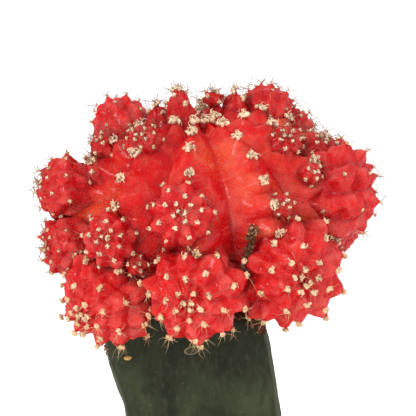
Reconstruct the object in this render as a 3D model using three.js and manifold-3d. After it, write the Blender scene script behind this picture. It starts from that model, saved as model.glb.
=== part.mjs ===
// Potted moon cactus: a red ball cactus with its offsets, grafted on a green three-winged stock
// that stands in soil in a plain clay pot. Millimetres, +Z up, +Y away from the viewer, and the
// origin at the middle of the pot's foot.

import * as THREE from "three";
import { mergeVertices } from "three/addons/utils/BufferGeometryUtils.js";
import Module from "manifold-3d";

const wasm = await Module();
wasm.setup();

// Driving dimensions of the pot, the soil and the stock
const GAP = 0.3; // air between two pieces that touch
const POT_HEIGHT = 78;
const POT_RIM_RADIUS = 44;
const POT_RIM_DEPTH = 18;
const POT_RIM_STEP = 3.2; // how far the rim stands out from the body
const POT_FOOT_RADIUS = 30;
const POT_WALL = 4;
const POT_FLOOR = 6;
const POT_CHAMFER = 0.8;
const DRAIN_RADIUS = 5;
const ROUND_SIDES = 48; // flats round the pot and the soil
const SOIL_TOP = 68;
const SOIL_LUMP = 0.8; // height of the soil's unevenness
const STOCK_FOOT = 30; // height at which the buried end of the stock stands
const STOCK_TOP = 128.7; // the cut that carries the graft
const STOCK_SHOULDER = 3.4; // height of the bevel that runs round the cut
const STOCK_CUT_SHARE = 0.66; // the cut's width as a share of the stem's
const WING_REACH = 19.3; // middle of the stem to the edge of a wing, at the soil
const FACE_REACH = 9.6; // middle of the stem to the middle of a face
const WING_SHARPNESS = 2.8;
const WING_FLARE = 1; // how much further the wings reach at the top
const WING_WAVE = 0.5; // height of the scallops along a wing's edge
const WING_WAVE_PITCH = 32;
const WING_WAVE_CREST = 120; // height of the uppermost scallop
const STOCK_SHIFT = 1.6; // where the stem leaves the soil, to the right of the pot's middle
const STOCK_LEAN = -8; // how far the top stands to the left of that
const STOCK_SIDES = 24;
const STOCK_RINGS = 14;

// Driving dimensions of a head's skin, in parts of the head's radius. furrow: depth of the
// valley between two ribs. knob: height of the knob under each areole. narrow: above 1, a knob
// keeps to the middle of its rib. saddle: how much of a knob's height its cross ridge keeps in
// the furrows. crowding: above 1, areoles crowd together at the crown. point: 0 for a round
// crown, 1 for a cone. shaped: degrees from the crown down to where the skin ends in a plain
// cone, which is sunk. shifts: how far each rib's areoles are moved towards the crown, in rows.
const MOTHER_KNOBS = { knob: 0.1, narrow: 2.2, saddle: 0.04 };
const MOTHER_SKIN = { ...MOTHER_KNOBS, furrow: 0.14, crowding: 0.96, point: 0, shaped: 152 };
const MOTHER_SHIFTS = [0.25, 0.5, 0.5, 0, 0.5, 0, 0.5, 0, 0.25, 0];
const OFFSET_KNOBS = { knob: 0.18, narrow: 1, saddle: 0.16 };
const OFFSET_SKIN = { ...OFFSET_KNOBS, furrow: 0.07, crowding: 1.4, point: 0, shaped: 118 };
const OFFSET_SHIFTS = [0.5, 0];
const SHORTEST_KNOB = 0.7; // least and most that a knob's height is multiplied by
const TALLEST_KNOB = 1.3;
const DIMPLE = 0.12; // depth of the hollow in the crown
const DIMPLE_SPREAD = 0.38; // how far the hollow reaches from the crown, in radians

// Driving dimensions of an areole: a cushion of wool with spines
const WOOL_RADIUS = 0.85;
const WOOL_HEIGHT = 0.5;
const SPINE_LENGTH = 3.2;
const SPINE_WIDTH = 0.32;
const SPINES = 3;
const SPINE_SPLAY = THREE.MathUtils.degToRad(56); // spine to the areole's own axis
const WOOLLY_EVERY = 5; // one areole in so many has wool and spines in this model

// The heads. at: middle. radius: across the ribs. up, down: crown and foot, in radii from the
// middle. tip: where the crown points. ribs, rows: areoles round the head and down a rib.
// roll: degrees round the tip.
const MOTHER_SHAPE = { radius: 27, up: 0.78, down: 0.9, ribs: 10, rows: 13, roll: 264 };
const MOTHER_PLACE = { at: [0, 0, 150], tip: [-0.12, 0, 1], shifts: MOTHER_SHIFTS };
const MOTHER = { ...MOTHER_SKIN, ...MOTHER_SHAPE, ...MOTHER_PLACE };
const LARGE = { ...OFFSET_SKIN, up: 0.9, down: 1.3, ribs: 10, rows: 6, roll: 0, shifts: OFFSET_SHIFTS };
const MEDIUM = { ...LARGE, ribs: 9, rows: 5 };
const SIDEWAYS = { ...MEDIUM, up: 0.85, down: 1.5 };
const REAR = { ...LARGE, ribs: 8, rows: 5 };
const SMALL = { ...LARGE, down: 1.5, ribs: 8, rows: 4 };
const BUD = { ...LARGE, up: 1, down: 1.8, ribs: 6, rows: 3 };
const HORN = { ...LARGE, up: 1.65, down: 0.8, ribs: 5, rows: 4, point: 0.9 };
const FINGER = { ...LARGE, up: 2.4, down: 1, ribs: 6, rows: 5, point: 0.4 };
const OFFSETS = [
  // in front, left to right
  { ...LARGE, at: [-21.5, -17, 133.8], radius: 9.6, tip: [-0.67, -0.69, -0.26], roll: 10 },
  { ...MEDIUM, at: [-20.5, -20.5, 147.5], radius: 5.7, tip: [-0.24, -0.88, 0.41] },
  { ...BUD, at: [-15.2, -22.5, 143], radius: 2.3, tip: [0, -0.97, 0.26], up: 0.9 },
  { ...LARGE, at: [-2.7, -25.5, 137.7], radius: 9.9, tip: [-0.1, -0.99, -0.02], roll: 20 },
  { ...MEDIUM, at: [-5.5, -26, 154.6], radius: 6.2, tip: [0.07, -0.9, 0.42], roll: 5 },
  { ...BUD, at: [15.6, -22.5, 155.9], radius: 2.3, tip: [0.2, -0.76, 0.62], roll: 15 },
  { ...LARGE, at: [17.3, -19.5, 140.7], radius: 10.8, tip: [0.35, -0.94, 0.03] },
  { ...BUD, at: [22, -13.5, 160.6], radius: 2.2, tip: [0.44, -0.78, 0.44] },
  // at the sides
  { ...SIDEWAYS, at: [-31.4, -4, 155], radius: 6.3, tip: [-0.9, -0.32, 0.29] },
  { ...SIDEWAYS, at: [-30.6, -7, 142.7], radius: 6.4, tip: [-0.9, -0.43, 0.05], roll: 20 },
  { ...SMALL, at: [-23.6, -3, 157.6], radius: 4.8, tip: [-0.62, -0.3, 0.7], roll: 10 },
  { ...LARGE, at: [26.8, -2, 153.3], radius: 10.6, tip: [0.9, 0.43, -0.02], up: 0.88, down: 1.2, roll: 10 },
  { ...SMALL, at: [28.6, 0, 143.4], radius: 4.6, tip: [0.75, -0.2, -0.6] },
  { ...MEDIUM, at: [23.8, 0, 161.5], radius: 5.2, tip: [0.32, -0.28, 0.9], down: 1.4 },
  // round the crown
  { ...MEDIUM, at: [-19.4, 8, 166.4], radius: 6, tip: [-0.53, 0.73, 0.43], down: 1.4 },
  { ...BUD, at: [-23, -3, 164], radius: 2.5, tip: [-0.36, -0.49, 0.79] },
  { ...SMALL, at: [-14, -12, 167], radius: 3.5, tip: [-0.18, -0.66, 0.73] },
  { ...MEDIUM, at: [12.9, 10, 169.8], radius: 5.3, tip: [0.07, 0.77, 0.64], down: 1.5 },
  { ...SMALL, at: [16.5, -8, 166], radius: 3.6, tip: [0.18, -0.71, 0.68] },
  { ...SMALL, at: [19, 12, 164.8], radius: 4, tip: [0.67, 0.69, 0.27], up: 1 },
  { ...FINGER, at: [-5.3, -1, 167.2], radius: 3.8, tip: [-0.15, 0, 1] },
  { ...HORN, at: [6, 6, 165.4], radius: 5.6, tip: [0, 0, 1], roll: 30 },
  { ...HORN, at: [-10.8, 3, 164], radius: 5, tip: [-0.05, 0, 1], roll: 20 },
  { ...HORN, at: [1.9, 5, 165.5], radius: 4.1, tip: [0, 0, 1] },
  { ...BUD, at: [1.2, 4.6, 172.9], radius: 2.1, tip: [0, 0.1, 0.98], up: 0.75, down: 0.9 },
  // at the back, out of the photograph's sight
  { ...REAR, at: [20.5, 20, 140], radius: 8.4, tip: [0.6, 0.78, -0.1] },
  { ...REAR, at: [3.5, 27, 139], radius: 9.7, tip: [0.1, 0.98, -0.1], roll: 12 },
  { ...REAR, at: [-16, 23.5, 141], radius: 8.7, tip: [-0.5, 0.86, -0.05] },
  { ...REAR, at: [-27, 11, 147], radius: 5.9, tip: [-0.88, 0.45, 0.1], down: 1.4 },
  { ...REAR, at: [10, 24.5, 156.5], radius: 6, tip: [0.3, 0.86, 0.4], down: 1.4 },
  { ...REAR, at: [-7.5, 25, 157], radius: 6.6, tip: [-0.25, 0.86, 0.44], down: 1.4, roll: 8 },
];
const HEADS = [MOTHER, ...OFFSETS];
const UP = new THREE.Vector3(0, 0, 1);

const material = (color, roughness) => new THREE.MeshStandardMaterial({ color, roughness, metalness: 0 });

// A number from 0 to 1 that is always the same for the same three whole numbers.
function draw(a, b, c) {
  const mixed = Math.sin(a * 127.1 + b * 311.7 + c * 74.7) * 43758.5453;
  return mixed - Math.floor(mixed);
}

// A closed mesh from rings of points, each ring anticlockwise seen from the first end, with one
// point that closes each end. leans chooses which way each four-sided cell is folded.
function ringMesh(firstEnd, rings, lastEnd, leans = () => false) {
  const sides = rings[0].length;
  const points = [firstEnd, ...rings.flat(), lastEnd];
  const at = (ring, side) => 1 + ring * sides + (side % sides);
  const last = points.length - 1;
  const triangles = [];
  for (let side = 0; side < sides; side++) {
    triangles.push([0, at(0, side), at(0, side + 1)]);
    triangles.push([last, at(rings.length - 1, side + 1), at(rings.length - 1, side)]);
  }
  for (let ring = 0; ring + 1 < rings.length; ring++) {
    for (let side = 0; side < sides; side++) {
      const [a, b] = [at(ring, side), at(ring + 1, side)];
      const [c, d] = [at(ring + 1, side + 1), at(ring, side + 1)];
      if (leans(ring, side)) triangles.push([a, b, d], [b, c, d]);
      else triangles.push([a, b, c], [a, c, d]);
    }
  }
  return { points, triangles };
}

// The geometry of a mesh of points and triangles.
function geometryOfMesh(mesh) {
  const geometry = new THREE.BufferGeometry();
  const numbers = mesh.points.flatMap((point) => point.toArray());
  geometry.setAttribute("position", new THREE.Float32BufferAttribute(numbers, 3));
  geometry.setIndex(mesh.triangles.flat());
  return geometry;
}

// The solid of a closed geometry.
function solidOf(geometry) {
  const bare = geometry.clone();
  bare.deleteAttribute("normal");
  bare.deleteAttribute("uv");
  const merged = mergeVertices(bare, 1e-4);
  const index = [];
  for (let i = 0; i < merged.index.count; i += 3) {
    const [a, b, c] = [0, 1, 2].map((corner) => merged.index.getX(i + corner));
    if (a !== b && b !== c && c !== a) index.push(a, b, c);
  }
  const vertProperties = merged.attributes.position.array;
  return new wasm.Manifold(new wasm.Mesh({ numProp: 3, vertProperties, triVerts: new Uint32Array(index) }));
}

// The geometry of a solid's largest body, so that no loose scrap or sealed hollow is kept.
function geometryOf(solid) {
  const body = solid.decompose().reduce((best, one) => (one.volume() > best.volume() ? one : best));
  const mesh = body.getMesh();
  const geometry = new THREE.BufferGeometry();
  geometry.setAttribute("position", new THREE.Float32BufferAttribute(mesh.vertProperties, mesh.numProp));
  geometry.setIndex([...mesh.triVerts]);
  return geometry;
}

// The turn that points +Z along tip, after a roll about +Z.
function turnTo(tip, roll) {
  const aim = new THREE.Quaternion().setFromUnitVectors(UP, new THREE.Vector3(...tip).normalize());
  return aim.multiply(new THREE.Quaternion().setFromAxisAngle(UP, THREE.MathUtils.degToRad(roll)));
}

// Places a point of a head's own frame, which has its crown up, in the part's frame.
function placed(head, point) {
  return point.applyQuaternion(turnTo(head.tip, head.roll)).add(new THREE.Vector3(...head.at));
}

// A rib's own number, also when the count has gone once round the head.
const ribNumber = (head, rib) => (rib + head.ribs) % head.ribs;

// How far a rib's areoles are moved towards the crown, in rows.
const stagger = (head, rib) => head.shifts[ribNumber(head, rib) % head.shifts.length];

// How tall an areole's knob has grown, drawn by its rib, its row and its head.
function growth(head, rib, row) {
  const seed = Math.round(10 * Math.abs(head.at[0]) + Math.abs(head.at[1]));
  return THREE.MathUtils.lerp(SHORTEST_KNOB, TALLEST_KNOB, draw(ribNumber(head, rib), row, seed));
}

// The angle from a head's crown to a point so many areoles down a rib.
const polarAt = (head, step) => Math.PI * Math.pow(step / head.rows, head.crowding);

// A point of a head's skin in its own frame. turn counts ribs round the head and step counts
// areoles down a rib, so whole numbers of both are the areoles. The skin is a globe with a
// dimpled crown, less a furrow between the ribs, plus a four-sided knob under each areole.
function skinPoint(head, turn, step) {
  const rib = Math.round(turn);
  const row = Math.round(step);
  const across = 2 * Math.abs(turn - rib);
  const along = 2 * Math.abs(step - row);
  const ownShift = stagger(head, rib);
  const nextShift = stagger(head, rib + Math.sign(turn - rib));
  const shift = ownShift + ((nextShift - ownShift) * across) / 2;
  const down = step - shift * Math.min(1, step, head.rows - step);
  const polar = polarAt(head, down);
  const azimuth = (2 * Math.PI * turn) / head.ribs;
  const girth = Math.sin(polar);
  const isKnob = row > 0 && row < head.rows;
  const ridge = isKnob ? head.knob * (0.45 + 0.55 * girth) * (1 - along) : 0;
  const height = growth(head, rib, row) * Math.pow(1 - across, head.narrow);
  const knob = ridge * (head.saddle + (1 - head.saddle) * height);
  const lift = knob - head.furrow * Math.pow(girth, 0.7) * Math.pow(across, 1.3);
  const isUpper = Math.cos(polar) > 0;
  const reach = isUpper ? head.up : head.down;
  const point = isUpper ? head.point : 0;
  const dimple = (1 - point) * DIMPLE * Math.exp(-((polar / DIMPLE_SPREAD) ** 2));
  const outward = THREE.MathUtils.lerp(girth, 1 - Math.cos(polar), point) * (1 + lift);
  return new THREE.Vector3(
    head.radius * outward * Math.cos(azimuth),
    head.radius * outward * Math.sin(azimuth),
    head.radius * (Math.cos(polar) * (reach + lift) - dimple),
  );
}

// True where a point lies outside every head but its own.
function isBare(point, ownHead) {
  return HEADS.every((head) => {
    if (head === ownHead) return true;
    const local = point.clone().sub(new THREE.Vector3(...head.at));
    local.applyQuaternion(turnTo(head.tip, head.roll).invert()).divideScalar(head.radius);
    local.z /= local.z > 0 ? head.up : head.down;
    return local.length() > 1;
  });
}

// Raises an areole at one point of a mesh: a six-sided cushion of wool whose every other side is
// narrow and carries a spine, a three-sided needle. seed fixes its draws.
function raiseAreole(mesh, peak, outward, size, seed) {
  const top = mesh.points[peak];
  const flat = new THREE.Quaternion().setFromUnitVectors(outward, UP);
  const bearing = (point) => {
    const spoke = point.clone().sub(top).applyQuaternion(flat);
    return Math.atan2(spoke.y, spoke.x);
  };
  const facets = mesh.triangles.filter((corners) => corners.includes(peak));
  const around = [...new Set(facets.flat())].filter((corner) => corner !== peak);
  const reach = Math.min(...around.map((corner) => mesh.points[corner].distanceTo(top)));
  const radius = Math.min(WOOL_RADIUS * size, reach / 2);
  // A point at a bearing, out from the middle of the cushion and up from its edge.
  const add = (turn, out, up) => {
    const point = new THREE.Vector3(out * Math.cos(turn), out * Math.sin(turn), up);
    return mesh.points.push(point.applyQuaternion(flat.clone().invert()).add(top)) - 1;
  };
  const half = Math.min(SPINE_WIDTH / 2 / radius, Math.PI / SPINES / 3);
  const turns = [...Array(SPINES).keys()].map((n) => (2 * Math.PI * (n + draw(seed, 1, 0))) / SPINES);
  const corners = turns.flatMap((turn) => [turn - half, turn + half]);
  const rim = corners.map((corner) => add(corner, radius, -radius / 4));
  const tuft = add(0, 0, WOOL_HEIGHT * size);
  mesh.triangles = mesh.triangles.filter((corners) => !corners.includes(peak));

  // From the points round the cushion to its rim, in the order of their bearings.
  const steps = [...around, ...rim].sort((a, b) => bearing(mesh.points[a]) - bearing(mesh.points[b]));
  let outer = steps.findLast((corner) => !rim.includes(corner));
  let inner = steps.findLast((corner) => rim.includes(corner));
  for (const corner of steps) {
    mesh.triangles.push([inner, outer, corner]);
    if (rim.includes(corner)) inner = corner;
    else outer = corner;
  }
  // From the rim up to the tuft, with a needle on every other side.
  turns.forEach((turn, n) => {
    const [left, right, next] = [rim[2 * n], rim[2 * n + 1], rim[(2 * n + 2) % rim.length]];
    const length = SPINE_LENGTH * Math.sqrt(size) * (0.8 + 0.4 * draw(seed, 2, n));
    const tip = add(turn, length * Math.sin(SPINE_SPLAY), length * Math.cos(SPINE_SPLAY));
    mesh.triangles.push([tuft, left, tip], [left, right, tip], [right, tuft, tip], [tuft, right, next]);
  });
}

// One head as a closed mesh: two columns a rib and two rings a row of areoles. One areole in
// WOOLLY_EVERY, evenly spread, gets wool and spines if it lies bare.
function headMesh(head, number) {
  const columnsPerRib = 2;
  const columns = head.ribs * columnsPerRib;
  const rings = [];
  for (let ring = 1; polarAt(head, ring / 2) < THREE.MathUtils.degToRad(head.shaped); ring++) {
    const row = [];
    for (let column = 0; column < columns; column++) {
      row.push(placed(head, skinPoint(head, column / columnsPerRib, ring / 2)));
    }
    rings.push(row);
  }
  const towardsKnob = (ring, column) => {
    const knobIsBelow = ring % 2 === 0;
    const knobIsBefore = column % columnsPerRib < columnsPerRib / 2;
    return knobIsBelow === knobIsBefore;
  };
  const crown = placed(head, skinPoint(head, 0, 0));
  const foot = placed(head, skinPoint(head, 0, head.rows));
  const mesh = ringMesh(crown, rings, foot, towardsKnob);
  const size = Math.min(1.25, Math.max(0.6, Math.sqrt(head.radius / 9)));
  for (let rib = 0; rib < head.ribs; rib++) {
    for (let row = 1; 2 * row < rings.length; row++) {
      const peak = 1 + (2 * row - 1) * columns + rib * columnsPerRib;
      const seed = number * 100 + rib * 10 + row;
      const isWoolly = (rib + 2 * row) % WOOLLY_EVERY === 0;
      if (isWoolly && isBare(mesh.points[peak], head)) {
        const outward = mesh.points[peak].clone().sub(new THREE.Vector3(...head.at)).normalize();
        raiseAreole(mesh, peak, outward, size, seed);
      }
    }
  }
  return mesh;
}

// The stem's outline at a height: three wings, a flat face to the front, grown by margin.
function stockRing(height, share, margin) {
  const rise = THREE.MathUtils.clamp((height - SOIL_TOP) / (STOCK_TOP - SOIL_TOP), 0, 1);
  const wave = WING_WAVE * Math.cos((2 * Math.PI * (height - WING_WAVE_CREST)) / WING_WAVE_PITCH);
  const wing = WING_REACH + WING_FLARE * rise + wave;
  const ring = [];
  for (let side = 0; side < STOCK_SIDES; side++) {
    const angle = (2 * Math.PI * side) / STOCK_SIDES + Math.PI / 2;
    const nearWing = Math.pow((1 + Math.cos(3 * (angle - Math.PI / 2))) / 2, WING_SHARPNESS);
    const reach = (FACE_REACH + (wing - FACE_REACH) * nearWing) * share + margin;
    const middle = stockMiddle(height);
    ring.push(new THREE.Vector3(middle + reach * Math.cos(angle), reach * Math.sin(angle), height));
  }
  return ring;
}

// Where the middle of the stem stands at a height: it leans to the left as it rises.
function stockMiddle(height) {
  const rise = THREE.MathUtils.clamp((height - SOIL_TOP) / (STOCK_TOP - SOIL_TOP), 0, 1);
  return STOCK_SHIFT + STOCK_LEAN * rise * rise;
}

// The stem from its buried end to the cut that carries the graft, grown by margin on every side.
function stockGeometry(margin) {
  const shoulder = STOCK_TOP - STOCK_SHOULDER;
  const rings = [stockRing(STOCK_TOP + margin, STOCK_CUT_SHARE, margin)];
  for (let ring = 0; ring <= STOCK_RINGS; ring++) {
    const height = THREE.MathUtils.lerp(shoulder, STOCK_FOOT + 2, ring / STOCK_RINGS);
    rings.push(stockRing(height + (ring ? 0 : margin), 1, margin));
  }
  rings.push(stockRing(STOCK_FOOT - margin, 0.8, margin));
  const top = new THREE.Vector3(stockMiddle(STOCK_TOP), 0, STOCK_TOP + margin);
  const foot = new THREE.Vector3(stockMiddle(STOCK_FOOT), 0, STOCK_FOOT - margin);
  return geometryOfMesh(ringMesh(top, rings, foot));
}

// The red plant: the mother head, its offsets, and the wool and spines, grown as one body and
// seated on the stock.
function scionGeometry() {
  const heads = HEADS.map((head, number) => solidOf(geometryOfMesh(headMesh(head, number))));
  const plant = heads.reduce((joined, head) => joined.add(head));
  return geometryOf(plant.subtract(solidOf(stockGeometry(GAP))));
}

// A point of the pot's or soil's profile: distance from the axis, then height.
const at = (radius, height) => new THREE.Vector2(radius, height);

// Radius of the pot's inside at a height.
function potInside(height) {
  const floorRadius = POT_FOOT_RADIUS - POT_WALL + 1;
  const mouthRadius = POT_RIM_RADIUS - POT_RIM_STEP - POT_WALL + 1;
  return THREE.MathUtils.mapLinear(height, POT_FLOOR, POT_HEIGHT, floorRadius, mouthRadius);
}

// A solid of revolution about the upright axis from a profile that closes on itself or starts
// and ends on the axis.
function turned(profile) {
  return new THREE.LatheGeometry(profile, ROUND_SIDES).rotateX(Math.PI / 2);
}

// The pot: a tapered body with a drain hole and a thick band for a rim.
function potGeometry() {
  const bodyTop = POT_RIM_RADIUS - POT_RIM_STEP;
  const rimFoot = POT_HEIGHT - POT_RIM_DEPTH;
  const mouth = potInside(POT_HEIGHT);
  return turned([
    at(DRAIN_RADIUS, 0),
    at(POT_FOOT_RADIUS - POT_CHAMFER, 0),
    at(POT_FOOT_RADIUS, POT_CHAMFER),
    at(bodyTop, rimFoot),
    at(POT_RIM_RADIUS - POT_CHAMFER, rimFoot),
    at(POT_RIM_RADIUS, rimFoot + POT_CHAMFER),
    at(POT_RIM_RADIUS, POT_HEIGHT - POT_CHAMFER),
    at(POT_RIM_RADIUS - POT_CHAMFER, POT_HEIGHT),
    at(mouth + POT_CHAMFER, POT_HEIGHT),
    at(mouth, POT_HEIGHT - POT_CHAMFER),
    at(potInside(POT_FLOOR), POT_FLOOR),
    at(DRAIN_RADIUS, POT_FLOOR),
    at(DRAIN_RADIUS, 0),
  ]);
}

// How far the soil's surface stands above or below its level at a place.
function soilLump(x, y) {
  return SOIL_LUMP * (Math.sin(0.41 * x + 0.9) * Math.cos(0.37 * y) + 0.5 * Math.sin(0.83 * x - 0.6 * y));
}

// The soil: it fills the pot to below the rim, with a plain hole for the stem.
function soilGeometry() {
  const floor = POT_FLOOR + GAP;
  const edge = potInside(SOIL_TOP) - GAP;
  const shares = [1, 0.84, 0.66, 0.48, 0.3, 0.15, 0];
  const geometry = turned([
    at(0, floor),
    at(potInside(floor) - GAP, floor),
    ...shares.map((share) => at(edge * share, SOIL_TOP)),
  ]);
  const place = geometry.attributes.position;
  for (let i = 0; i < place.count; i++) {
    const [x, y, z] = [place.getX(i), place.getY(i), place.getZ(i)];
    const isInner = Math.hypot(x, y) < edge - 1;
    if (z > SOIL_TOP - 1 && isInner) place.setZ(i, z + soilLump(x, y));
  }
  return geometryOf(solidOf(geometry).subtract(solidOf(stockGeometry(GAP))));
}

function named(name, geometry, look) {
  const mesh = new THREE.Mesh(geometry, look);
  mesh.name = name;
  return mesh;
}

const plant = new THREE.Group();
plant.add(named("pot", potGeometry(), material(0xb4623d, 0.85)));
plant.add(named("soil", soilGeometry(), material(0x3f2f24, 1)));
plant.add(named("rootstock", stockGeometry(0), material(0x39432d, 0.6)));
plant.add(named("scion", scionGeometry(), material(0xd8282a, 0.5)));

export default plant;
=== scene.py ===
# %% [markdown]
# # A potted moon cactus
#
# A moon cactus is two plants. The red one has no green of its own, so it lives as a graft on a
# green three-winged stem. It has grown one large head and a crowd of offsets round it. Every
# head is the same idea: a globe with ribs, a row of knobs down each rib, and on each knob an
# areole, which is a cushion of wool with spines.
#
# So this lesson writes one formula for the skin of a head and uses it for them all, then finds
# the areoles on that skin and plants wool and spines there.

# %% Set-up
import math

import bpy
import numpy as np
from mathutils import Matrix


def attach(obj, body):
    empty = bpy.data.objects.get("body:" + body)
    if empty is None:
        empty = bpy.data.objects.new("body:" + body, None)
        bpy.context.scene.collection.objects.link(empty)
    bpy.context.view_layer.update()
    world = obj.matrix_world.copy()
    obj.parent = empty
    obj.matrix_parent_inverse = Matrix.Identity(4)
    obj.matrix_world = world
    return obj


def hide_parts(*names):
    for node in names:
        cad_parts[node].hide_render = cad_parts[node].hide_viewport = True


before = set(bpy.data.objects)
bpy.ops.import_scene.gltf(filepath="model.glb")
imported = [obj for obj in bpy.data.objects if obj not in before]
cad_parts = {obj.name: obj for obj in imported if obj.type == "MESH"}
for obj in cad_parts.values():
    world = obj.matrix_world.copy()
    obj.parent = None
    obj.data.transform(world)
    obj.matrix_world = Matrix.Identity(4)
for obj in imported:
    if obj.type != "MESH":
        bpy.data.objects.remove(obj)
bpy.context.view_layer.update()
print("nodes in the frame:", sorted(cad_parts))

# %% [markdown]
# ## From arrays to meshes
#
# Nearly every shape here is a row of rings between two end points, so that it is closed: a head,
# a lump of wool, a spine, the stem, the soil. It could be made one by one with mesh operators.
# Here the points are worked out as whole arrays, for many copies at once, and one helper lists
# the cells. Sizes are millimetres until the last moment, as a plant this small is measured.

# %% Closed shapes
MM = 0.001


def angles(count):
    """The angles of count points evenly round a circle."""
    return 2 * math.pi * np.arange(count) / count


def closed_shapes(first, rings, last):
    """Points and cells of closed shapes. rings holds (copies, rings, columns, 3) numbers, each
    ring anticlockwise seen from the first end. first and last hold an end point a copy."""
    copies, rows, columns = rings.shape[:3]
    body = rings.reshape(copies, -1, 3)
    points = np.concatenate([first[:, None], body, last[:, None]], axis=1)
    around = np.arange(columns)
    after = (around + 1) % columns
    ring = 1 + columns * np.arange(rows)[:, None]
    above, below = ring[:-1], ring[1:]
    walls = np.stack([above + around, below + around, below + after, above + after], axis=-1)
    start = np.stack([0 * around, 1 + around, 1 + after], axis=1)
    end = 1 + rows * columns
    finish = np.stack([0 * around + end, ring[-1] + after, ring[-1] + around], axis=1)
    copy = np.arange(copies)[:, None, None] * (end + 1)
    blocks = [walls.reshape(-1, 4), start, finish]
    cells = [(block[None] + copy).reshape(-1, block.shape[1]) for block in blocks]
    return points.reshape(-1, 3), cells


def closed_values(first, rings, last):
    """One number a point, in the order of closed_shapes."""
    copies = len(rings)
    ends = [np.full((copies, 1), float(end)) for end in (first, last)]
    return np.concatenate([ends[0], rings.reshape(copies, -1), ends[1]], axis=1).ravel()


def joined(shapes):
    """Several (points, cells, patterns) as one."""
    points, cells, patterns, start = [], [], {}, 0
    for some_points, some_cells, some_patterns in shapes:
        points.append(some_points)
        cells += [block + start for block in some_cells]
        start += len(some_points)
        for key, values in some_patterns.items():
            patterns.setdefault(key, []).append(values)
    return np.concatenate(points), cells, {k: np.concatenate(v) for k, v in patterns.items()}


def added(name, data):
    """A new object in the scene."""
    thing = bpy.data.objects.new(name, data)
    bpy.context.scene.collection.objects.link(thing)
    return thing


def make_piece(name, shape, material, stands_for=None):
    """A smooth object from points in millimetres, blocks of cells and patterns of one number a
    point, which rides on the plant's only body."""
    points, cells, patterns = shape
    mesh = bpy.data.meshes.new(name)
    faces = [cell for block in cells for cell in block.tolist()]
    mesh.from_pydata((points * MM).tolist(), [], faces)
    mesh.shade_smooth()
    for key, values in patterns.items():
        layer = mesh.attributes.new(key, "FLOAT", "POINT")
        layer.data.foreach_set("value", values.astype(np.float32))
    mesh.materials.append(material)
    piece = added(name, mesh)
    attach(piece, "root")
    if stands_for:
        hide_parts(stands_for)
    triangles = sum(len(block) * (block.shape[1] - 2) for block in cells)
    print(f"{name}: {len(points)} points, {triangles} triangles")


# %% [markdown]
# ## Small unevenness
#
# Nothing that grows is exact. A few sine waves in random directions, added up, are a smooth
# noise that costs one line of numpy, works on any number of points at once and, with a fixed
# seed, comes out the same every time.

# %% Noise
WAVES = 14


def ripple(points, length, seed):
    """Smooth noise of about -1 to 1: sine waves of about that length, in directions and phases
    drawn with the seed, added up and divided by the square root of their number."""
    rng = np.random.default_rng(seed)
    ways = rng.normal(size=(WAVES, 3))
    ways /= np.linalg.norm(ways, axis=1, keepdims=True)
    ways *= 2 * math.pi / (length * rng.uniform(0.7, 1.5, (WAVES, 1)))
    phases = rng.uniform(0, 2 * math.pi, WAVES)
    return np.sin(points @ ways.T + phases).sum(axis=-1) / math.sqrt(WAVES)


def uneven(points, ripples):
    """Ripples added up, each given by its height in millimetres, its length and its seed."""
    return sum(height * ripple(points, length, seed) for height, length, seed in ripples)


def unit(vectors):
    """The vectors, each divided by its length."""
    return vectors / np.linalg.norm(vectors, axis=-1, keepdims=True)


def smooth(value, low, high):
    """0 below low, 1 above high and an S between them."""
    share = np.clip((value - low) / (high - low), 0, 1)
    return share * share * (3 - 2 * share)


# %% [markdown]
# ## The heads
#
# Each head says where its middle is, how large it is, where its crown points, and what isn't
# usual about it. The places are those of the construction model, so that the fine skin lies
# where the solid is.

# %% Table of heads
USUAL = dict(ribs=10, rows=6, up=0.9, down=1.3, furrow=0.07, knob=0.18, narrow=1.0, saddle=0.16,
             crowding=1.4, point=0.0, shifts=(0.5, 0.0), crest=0.06, valley=0.2, bend=0.04,
             woolly=1.0)


def head(at, radius, tip, roll=0.0, **own):
    """One head. at: its middle. radius: across the ribs. tip: where its crown points. roll:
    degrees round the tip. own: what isn't usual. ribs, rows: how many. up, down: crown and foot,
    in radii. furrow, knob: in radii. narrow: above 1, a knob keeps to the middle of its rib.
    saddle: how much of a knob's height its cross ridge keeps in the furrows. crowding: above 1,
    the areoles crowd together at the crown. point: 0 for a round crown, 1 for a cone. shifts:
    how far each rib's areoles are moved towards the crown, in rows. crest, valley: how round a
    knob's top and a furrow's bottom are. bend: how far out of true, in radii. woolly: size of
    its areoles' wool."""
    return {**USUAL, **own, "at": np.array(at, float), "radius": radius,
            "tip": unit(np.array(tip, float)), "roll": math.radians(roll),
            "seed": round(10 * abs(at[0]) + abs(at[1]))}


MEDIUM = dict(ribs=9, rows=5)
SIDEWAYS = dict(ribs=9, rows=5, up=0.85, down=1.5, woolly=0.8)
REAR = dict(ribs=8, rows=5)
SMALL = dict(ribs=8, rows=4, down=1.5)
BUD = dict(ribs=6, rows=3, up=1.0, down=1.8)
HORN = dict(ribs=5, rows=4, up=1.65, down=0.8, point=0.9, woolly=1.25)
FINGER = dict(ribs=6, rows=5, up=2.4, down=1.0, point=0.4, woolly=1.25)

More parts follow.
